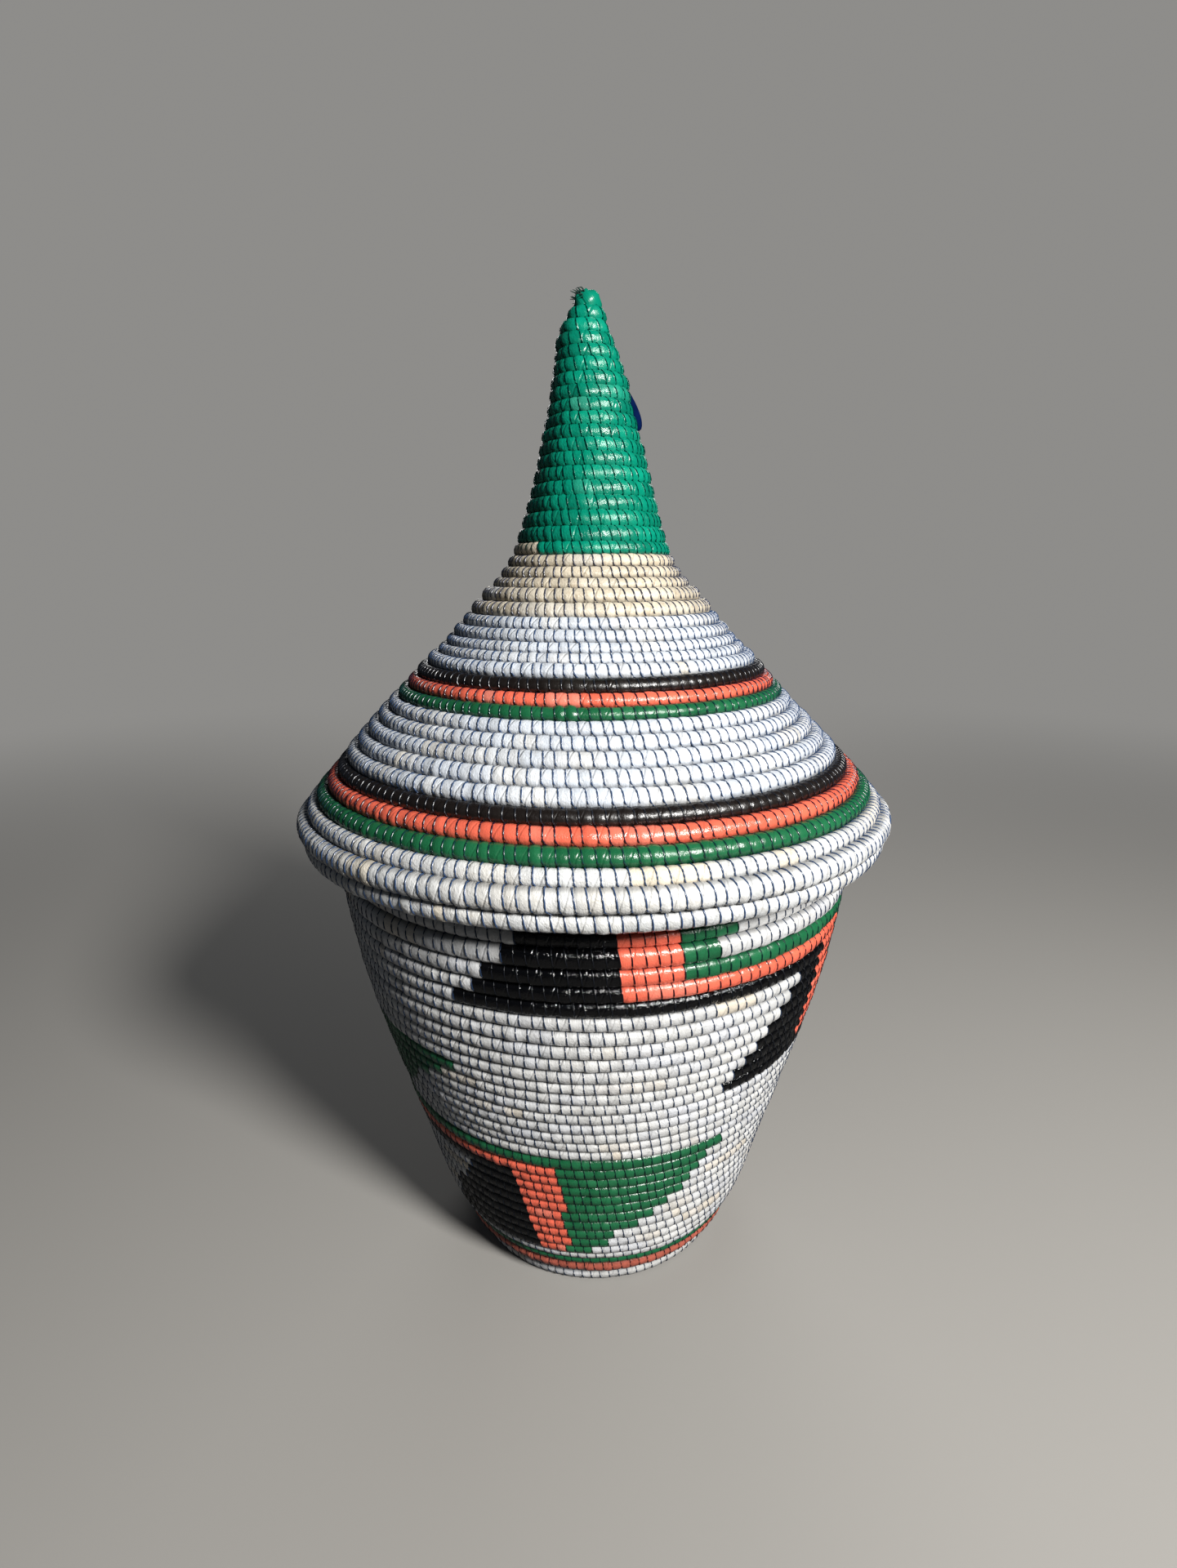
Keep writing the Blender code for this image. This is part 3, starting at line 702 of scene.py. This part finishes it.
# how the sewn rows stray from a true turned shape, in mm
lidStray = {
    "leans": ((176, 186, 206, 222, 250, 288, 308, 329, 338),  # heights, and how far right each lies
              (0.0, -0.3, -1.4, -0.7, -0.6, 0.2, -0.7, -2.0, -1.2)),
    "knobbly": 0.4, "knobblyFrom": (255, 300), "waver": 0.05,
    # turn, angle, width in degrees and size; a lump is so many rows high
    "lumps": ((3.3, 268, 50, 1.1), (0.9, 60, 70, 0.5), (6.2, 80, 60, 0.7), (11.0, 285, 60, 0.5)),
    "lumpRows": 0.8,
    "knot": (31.252, 31.272, 0.2),  # turns, and how much fatter the green strip's end is
}
bowlStray = {"waver": 0.16, "waverFrom": (2, 20), "tuck": 1.1, "tuckBelow": 45, "tuckLeft": 50}
strayWaves = {"slow": ((0.031, 0), (0.0117, 2), (0.083, 0)), "quick": ((0.37, 0), (0.153, 1.0), (0.071, 2.0))}


def waves(count, kind):  # three waves that run down the coil
    return sum(np.sin(np.arange(count) * speed + shift) for speed, shift in strayWaves[kind])


def lidWander(points, at):
    x, y, z = points.T / mm
    moved = np.zeros_like(points)
    moved[:, 0] = np.interp(z, *lidStray["leans"])
    out = points[:, :2] / np.maximum(np.hypot(points[:, 0], points[:, 1]), 1e-6)[:, None]
    push = waves(len(points), "quick") / 3 * lidStray["knobbly"] * smooth(z, *lidStray["knobblyFrom"])
    angle = np.degrees(np.arctan2(x, -y))
    for row, toward, width, size in lidStray["lumps"]:
        off = (angle - toward + 180) % 360 - 180
        push += size * np.exp(-(off / width) ** 2 - ((at - row) / lidStray["lumpRows"]) ** 2)
    moved[:, :2] += out * push[:, None]
    moved[:, 2] = waves(len(points), "slow") * lidStray["waver"]
    return moved * mm


def bowlWander(points, at):
    x, y, z = points.T / mm
    moved = np.zeros_like(points)
    low = smooth(-z, -bowlStray["tuckBelow"], 0)
    moved[:, 0] = bowlStray["tuck"] * low * np.clip(-x / bowlStray["tuckLeft"], 0, 1)
    moved[:, 2] = waves(len(points), "slow") * bowlStray["waver"] / 3 * smooth(z, *bowlStray["waverFrom"])
    return moved * mm


spacing, pinch = stitchShape["spacing"], stitchShape["pinch"]
strands = {
    "lid": Strand(lid, stitchPlaces(lid, spacing["lid"]), lidColour, plainRing, pinch["lid"], lidWander,
                  taper=(0.5, 0.05), fullTo=18, knots=[lidStray["knot"]]),
    "bowl": Strand(bowl, stitchPlaces(bowl, spacing["bowl"], anchorAngle), bowlColour, bowlRing,
                   pinch["bowl"], bowlWander, taper=(0.04, 0.0)),
    "floor": Strand(floorCoil, stitchPlaces(floorCoil, spacing["floor"]), lambda row, angle: "white",
                    plainRing, pinch["floor"]),
}
for name, strand in strands.items():
    print("stage: strand", name, "stitches", len(strand.places))

neck = bowlShape["neckRows"]
foot = neck + patternShape["rows"]
last = 99  # past the last row
motifNodes = lambda colour: ["base_%s_motif_%d" % (colour, n) for n in (1, 2, 3, 4)]
# name, strand, colour, rows, finish, body, and the CAD nodes that the coil stands for
coils = (
    ("lid_spire_coil", "lid", "emerald", (0, last), "emerald", "lid", ["lid_spire_green_wrap", "lid_core"]),
    ("lid_cream_coil", "lid", "cream", (0, last), "cream", "lid", ["lid_cream_wrap"]),
    ("lid_white_coil_high", "lid", "white", (0, 30), "lidWhite", "lid", ["lid_upper_white_wrap"]),
    ("lid_white_coil_middle", "lid", "white", (30, 39), "lidWhite", "lid", ["lid_middle_white_wrap"]),
    ("lid_brim_coils", "lid", "white", (39, last), "brimWhite", "lid",
     ["lid_shoulder_white_coil", "lid_brim_white_coil", "lid_under_brim_coil"]),
    ("lid_black_coils", "lid", "black", (0, last), "lidBlack", "lid",
     ["lid_upper_black_coil", "lid_lower_black_coil"]),
    ("lid_coral_coils", "lid", "coral", (0, last), "coral", "lid",
     ["lid_upper_coral_coil", "lid_lower_coral_coil"]),
    ("lid_green_coils", "lid", "green", (0, last), "green", "lid",
     ["lid_upper_green_coil", "lid_lower_green_coil"]),
    ("bowl_white_coil_high", "bowl", "white", (0, neck + 11), "bowlWhite", "base",
     ["base_white_wrap", "base_core"]),
    ("bowl_white_coil_low", "bowl", "white", (neck + 11, last), "bowlWhite", "base",
     ["base_foot_white_coil_1", "base_foot_white_coil_5"]),
    ("bowl_black_coil", "bowl", "black", (0, last), "bowlBlack", "base",
     motifNodes("black") + ["base_foot_black_coil_4"]),
    ("bowl_coral_coil", "bowl", "coral", (0, foot), "coral", "base", motifNodes("coral")),
    ("bowl_foot_coral_coil", "bowl", "coral", (foot, last), "footCoral", "base", ["base_foot_coral_coil_3"]),
    ("bowl_green_coil", "bowl", "green", (0, last), "green", "base",
     motifNodes("green") + ["base_foot_green_coil_2"]),
    ("bowl_floor_coil", "floor", "white", (0, last), "bowlWhite", "base", ["base_floor"]),
)
coilShape = {
    "sides": 12, "crease": 0.12, "spireCrease": 0.2, "creaseSize": 2.6,  # mm
    # shares of half the thickness: how far the coil's corners stand out, and how far its edges are tucked in
    "square": {"lid": 0.07, "bowl": 0.12, "floor": 0.05}, "spireSquare": 0.08,
    "tuck": {"lid": 0.07, "bowl": 0.04, "floor": 0.05}, "spireTuck": 0.13,
}
sweepCoil = coilTree()
for name, strand, colour, rows, finish, body, nodes in coils:
    guide = strands[strand].coilGuide(lambda c, row: c == colour and rows[0] <= row < rows[1])
    spire = colour == "emerald"
    piece = grown(guide, sweepCoil, name, {
        "Sides": coilShape["sides"], "Slant": slantShape["spireSlant" if spire else "slant"],
        "Bend": slantShape["bend"], "Crease": coilShape["spireCrease" if spire else "crease"] * mm,
        "Crease size": 1 / (coilShape["creaseSize"] * mm), "Material": finishes[finish],
        "Square": coilShape["spireSquare"] if spire else coilShape["square"][strand],
        "Tuck": coilShape["spireTuck"] if spire else coilShape["tuck"][strand]})
    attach(piece, body)
    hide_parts(*nodes)
    print("stage:", name, "triangles", sum(len(p.vertices) - 2 for p in piece.data.polygons))

threadShape = {"sweep": 5.4, "bends": 12, "sides": 4, "foot": 0.35}
# name, strand, rows, finish, half the thickness in mm, lift, body and slant
threads = (
    ("lid_spire_thread", "lid", (0, 19), "spireThread", 0.19, 1.02, "lid", "spireSlant"),
    ("lid_thread", "lid", (19, 34), "thread", 0.29, 1.035, "lid", "slant"),
    ("lid_brim_thread", "lid", (34, last), "thread", 0.28, 1.035, "lid", "slant"),
    ("bowl_thread_high", "bowl", (0, neck + 8), "bowlThread", 0.22, 1.05, "base", "slant"),
    ("bowl_thread_middle", "bowl", (neck + 8, neck + 21), "bowlThread", 0.21, 1.05, "base", "slant"),
    ("bowl_thread_low", "bowl", (neck + 21, last), "bowlThread", 0.21, 1.05, "base", "slant"),
    ("bowl_floor_thread", "floor", (0, last), "bowlThread", 0.22, 1.035, "base", "slant"),
)
sew = threadTree()
for number, (name, strand, rows, finish, thickness, lift, body, slant) in enumerate(threads):
    piece = grown(strands[strand].threadGuide(*rows), sew, name, {
        "Thickness": thickness * mm, "Lift": lift, "Slant": slantShape[slant], "Foot": threadShape["foot"],
        "Bend": slantShape["bend"], "Sweep": threadShape["sweep"], "Bends": threadShape["bends"],
        "Sides": threadShape["sides"], "Seed": number, "Material": finishes[finish]})
    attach(piece, body)
    print("stage:", name, "triangles", sum(len(p.vertices) - 2 for p in piece.data.polygons))


def tubeFaces(steps, sides):  # with its two ends closed
    faces = []
    for k in range(steps):
        for n in range(sides):
            m = (n + 1) % sides
            faces.append((k * sides + n, k * sides + m, (k + 1) * sides + m, (k + 1) * sides + n))
    return faces + [tuple(reversed(range(sides))), tuple(range(steps * sides, (steps + 1) * sides))]


# a closed tapered tube along points, as vertices and faces
def tube(points, radii, sides):
    verts = []
    for k, (p, radius) in enumerate(zip(points, radii)):
        way = (points[min(k + 1, len(points) - 1)] - points[max(k - 1, 0)]).normalized()
        side = way.cross(Vector((0.3, 0.2, 1))).normalized()
        up = side.cross(way)
        for n in range(sides):
            a = 2 * math.pi * n / sides
            verts.append(p + side * (radius * math.cos(a)) + up * (radius * math.sin(a)))
    return verts, tubeFaces(len(points) - 1, sides)


# one object from several (vertices, faces) parts
def meshPiece(name, parts, material, body, nodes=(), values=None):
    verts, faces = [], []
    for partVerts, partFaces in parts:
        faces += [tuple(v + len(verts) for v in face) for face in partFaces]
        verts += list(partVerts)
    mesh = bpy.data.meshes.new(name)
    mesh.from_pydata([tuple(v) for v in verts], [], faces)
    for key, column in (values or {}).items():
        made = mesh.attributes.new(key, "FLOAT", "POINT")
        made.data.foreach_set("value", np.array(column, dtype=np.float32))
    mesh.validate()
    mesh.shade_smooth()
    mesh.materials.append(material)
    thing = added(name, mesh)
    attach(thing, body)
    if nodes:
        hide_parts(*nodes)


# the knot at the tip; a lump has a height and its counts round and down the knot
tipShape = {"centre": (-1.2, 0.0, 337.0), "radius": (4.5, 4.4, 4.4), "rings": 10, "sides": 20,
            "lumps": ((0.05, 3, 4), (0.04, 5, -3)), "flat": 0.03, "grain": (700, 500), "row": 77.0}
rings, sides = tipShape["rings"], tipShape["sides"]
verts, faces = [], []
for i in range(rings + 1):
    v = math.pi * i / rings
    for j in range(sides if 0 < i < rings else 1):
        u = 2 * math.pi * j / sides
        lump = sum((size * math.sin(across * u + down * v) for size, across, down in tipShape["lumps"]), 1.0)
        lump -= tipShape["flat"] * math.cos(v) ** 2
        ball = [math.sin(v) * math.cos(u), math.sin(v) * math.sin(u), math.cos(v)]
        sizes = zip(tipShape["centre"], ball, tipShape["radius"])
        verts.append([(c + b * q * lump) * mm for c, b, q in sizes])


def ringAt(i, j):  # a vertex of the knot; the first and the last ring are one vertex each
    if i == 0:
        return 0
    return 1 + (i - 1) * sides + j % sides if i < rings else 1 + (rings - 1) * sides


for i in range(rings):
    for j in range(sides):
        face = []
        for v in (ringAt(i, j), ringAt(i + 1, j), ringAt(i + 1, j + 1), ringAt(i, j + 1)):
            if v not in face:
                face.append(v)
        faces.append(tuple(face))
across, up = tipShape["grain"]
meshPiece("lid_tip", [(verts, faces)], finishes["emerald"], "lid", ["lid_tip_knot"],
          {"along": [v[0] * across + v[2] * up for v in verts], "tone": [0.5] * len(verts),
           "row": [tipShape["row"]] * len(verts)})

# frayed ends at the tip's left; they stay under the CAD's top
frayShape = {
    "count": 22, "length": (1.8, 4.0), "thickness": 0.22, "sides": 4,
    "turns": (-2.0, -0.6), "centre": (-0.4, 338.6), "roots": (3.0, 3.8), "rise": (-1.5, 2.0),
    "sideways": (0.4, 1), "forwards": 0.4, "upwards": (-0.2, 0.9), "curl": 0.35, "topGap": 0.3,
    "taper": ((0, 1), (0.25, 0.95), (0.5, 0.85), (0.75, 0.7), (1.0, 0.35)),  # place, share of the thickness
}
centre, height = frayShape["centre"]
beside, before = frayShape["roots"]
top = cadBox[1][2] - frayShape["topGap"] * mm
parts = []
for n in range(frayShape["count"]):
    turn = rng.uniform(*frayShape["turns"])
    start = Vector((centre + beside * math.sin(turn), -before * math.cos(turn),
                    height + rng.uniform(*frayShape["rise"])))
    way = Vector((math.sin(turn) * rng.uniform(*frayShape["sideways"]),
                  -frayShape["forwards"] * rng.uniform(-1, 1), rng.uniform(*frayShape["upwards"])))
    way = way.normalized() * rng.uniform(*frayShape["length"])
    bend = Vector(rng.normal(0, frayShape["curl"], 3))
    path = [(start + way * t + bend * t * t) * mm for t, _ in frayShape["taper"]]
    path = [Vector((p.x, p.y, min(p.z, top))) for p in path]
    radii = [frayShape["thickness"] * mm * share for _, share in frayShape["taper"]]
    parts.append(tube(path, radii, frayShape["sides"]))
meshPiece("lid_tip_fray", parts, finishes["fibre"], "lid")

# a loose end of blue strip that bows off the spire's right side; its back stays against the coil
blueShape = {
    "angle": 97, "low": 298.6, "high": 313.0, "bulge": 2.5, "peak": 0.34, "round": 0.8, "lift": 0.15,
    "sunk": 1.2, "width": 1.6, "thinnest": 0.35, "steps": 14, "sides": 10,
    "spire": ((296.0, 311.0, 315.0), (16.4, 12.6, 11.6)),  # heights, and the spire's radius there
}
angle = math.radians(blueShape["angle"])
skew = math.log(0.5) / math.log(blueShape["peak"])
thin = blueShape["thinnest"]
verts = []
steps, around = blueShape["steps"], blueShape["sides"]
for k in range(steps + 1):
    t = k / steps
    z = blueShape["low"] + (blueShape["high"] - blueShape["low"]) * t
    swell = math.sin(math.pi * t ** skew) ** blueShape["round"] if 0 < t < 1 else 0
    surface = np.interp(z, *blueShape["spire"])
    lean = np.interp(z, *lidStray["leans"])
    back, front = surface - blueShape["sunk"], surface + blueShape["lift"] + blueShape["bulge"] * swell
    for n in range(around):
        a = 2 * math.pi * n / around
        r = (front + back) / 2 + (front - back) / 2 * math.cos(a)
        turn = angle + blueShape["width"] * (thin + (1 - thin) * swell) * math.sin(a) / r
        verts.append(((r * math.sin(turn) + lean) * mm, -r * math.cos(turn) * mm, z * mm))
meshPiece("lid_blue_end", [(verts, tubeFaces(steps, around))], finishes["blue"], "lid",
          ["lid_blue_thread_end"])
print("stage: tip and loose ends")

# the floor fades into the backdrop's colour, so that no horizon shows
stageShape = {
    "wide": 8.0, "fade": (0.35, 1.5),  # metres
    "colour": (0.33, 0.318, 0.298), "backdrop": (0.27, 0.265, 0.255),
    "bounce": (0.09, 0.088, 0.085), "rough": 0.9,  # what the floor throws back at the basket
}
floorMesh = bpy.data.meshes.new("floor")
wide = stageShape["wide"]
corners = [(-wide, -wide, 0), (wide, -wide, 0), (wide, wide, 0), (-wide, wide, 0)]
floorMesh.from_pydata(corners, [], [(0, 1, 2, 3)])
ground = added("floor", floorMesh)
material, board = newMaterial("pale floor")
here = board.node("ShaderNodeTexCoord", out=3)
far = board.step(board.vectors("LENGTH", here, out=1), *stageShape["fade"])
seen = board.node("ShaderNodeLightPath")  # by the camera
paint = board.mixed((*stageShape["bounce"], 1), (*stageShape["colour"], 1), seen)
near = board.node("ShaderNodeBsdfPrincipled", {}, {"Base Color": paint, "Roughness": stageShape["rough"]})
glow = board.node("ShaderNodeEmission", {}, {"Color": (*stageShape["backdrop"], 1), "Strength": 1.0})
both = board.node("ShaderNodeMixShader", {}, {0: far * seen, 1: near, 2: glow})
board.end("ShaderNodeOutputMaterial", both)
floorMesh.materials.append(material)

studio = {"ambient": (0.028, 0.033, 0.040), "target": (0, 0, 0.19)}
world = bpy.data.worlds.new("studio")
bpy.context.scene.world = world
world.use_nodes = True
world.node_tree.nodes.clear()
board = Board(world.node_tree)
seen = board.node("ShaderNodeLightPath")  # by the camera
sky = board.mixed((*studio["ambient"], 1), (*stageShape["backdrop"], 1), seen)
board.end("ShaderNodeOutputWorld", board.node("ShaderNodeBackground", {}, {"Color": sky, "Strength": 1.0}))

# degrees, metres and watts
lamps = (
    dict(name="key", azimuth=35, elevation=29, distance=0.90, size=0.2, power=15.2, colour=(1, 0.985, 0.96)),
    dict(name="fill", azimuth=-60, elevation=30, distance=1.8, size=1.2, power=0.15, colour=(0.92, 0.96, 1)),
    dict(name="back", azimuth=180, elevation=16, distance=1.6, size=1.0, power=8.0, colour=(1, 1, 1)),
)
target = Vector(studio["target"])
for lamp in lamps:
    light = bpy.data.lights.new(lamp["name"], "AREA")
    light.shape, light.size = "DISK", lamp["size"]
    light.energy, light.color = lamp["power"], lamp["colour"]
    thing = added(lamp["name"], light)
    a, e = math.radians(lamp["azimuth"]), math.radians(lamp["elevation"])
    way = Vector((math.sin(a) * math.cos(e), -math.cos(a) * math.cos(e), math.sin(e)))
    thing.location = target + way * lamp["distance"]
    thing.rotation_euler = way.to_track_quat("Z", "Y").to_euler()

# mm and degrees; focal and shift are shares of the picture's height
cameraShape = {"distance": 295.7, "height": 252.9, "pitch": 14.55, "roll": -0.28, "sensor": 36,
               "focal": 1000 / 1920, "shift": -6.4 / 1920, "nearest": 10}
view = bpy.data.cameras.new("view")
view.sensor_fit = "VERTICAL"
view.sensor_height = cameraShape["sensor"]
view.lens = cameraShape["sensor"] * cameraShape["focal"]
view.shift_x = cameraShape["shift"]
view.clip_start = cameraShape["nearest"] * mm
camera = added("view", view)
camera.location = (0, -cameraShape["distance"] * mm, cameraShape["height"] * mm)
level = Euler((math.radians(90 - cameraShape["pitch"]), 0, 0)).to_matrix()
camera.rotation_euler = (level @ Matrix.Rotation(math.radians(cameraShape["roll"]), 3, "Z")).to_euler()
bpy.context.scene.camera = camera
bpy.context.scene.view_settings.view_transform = "Standard"
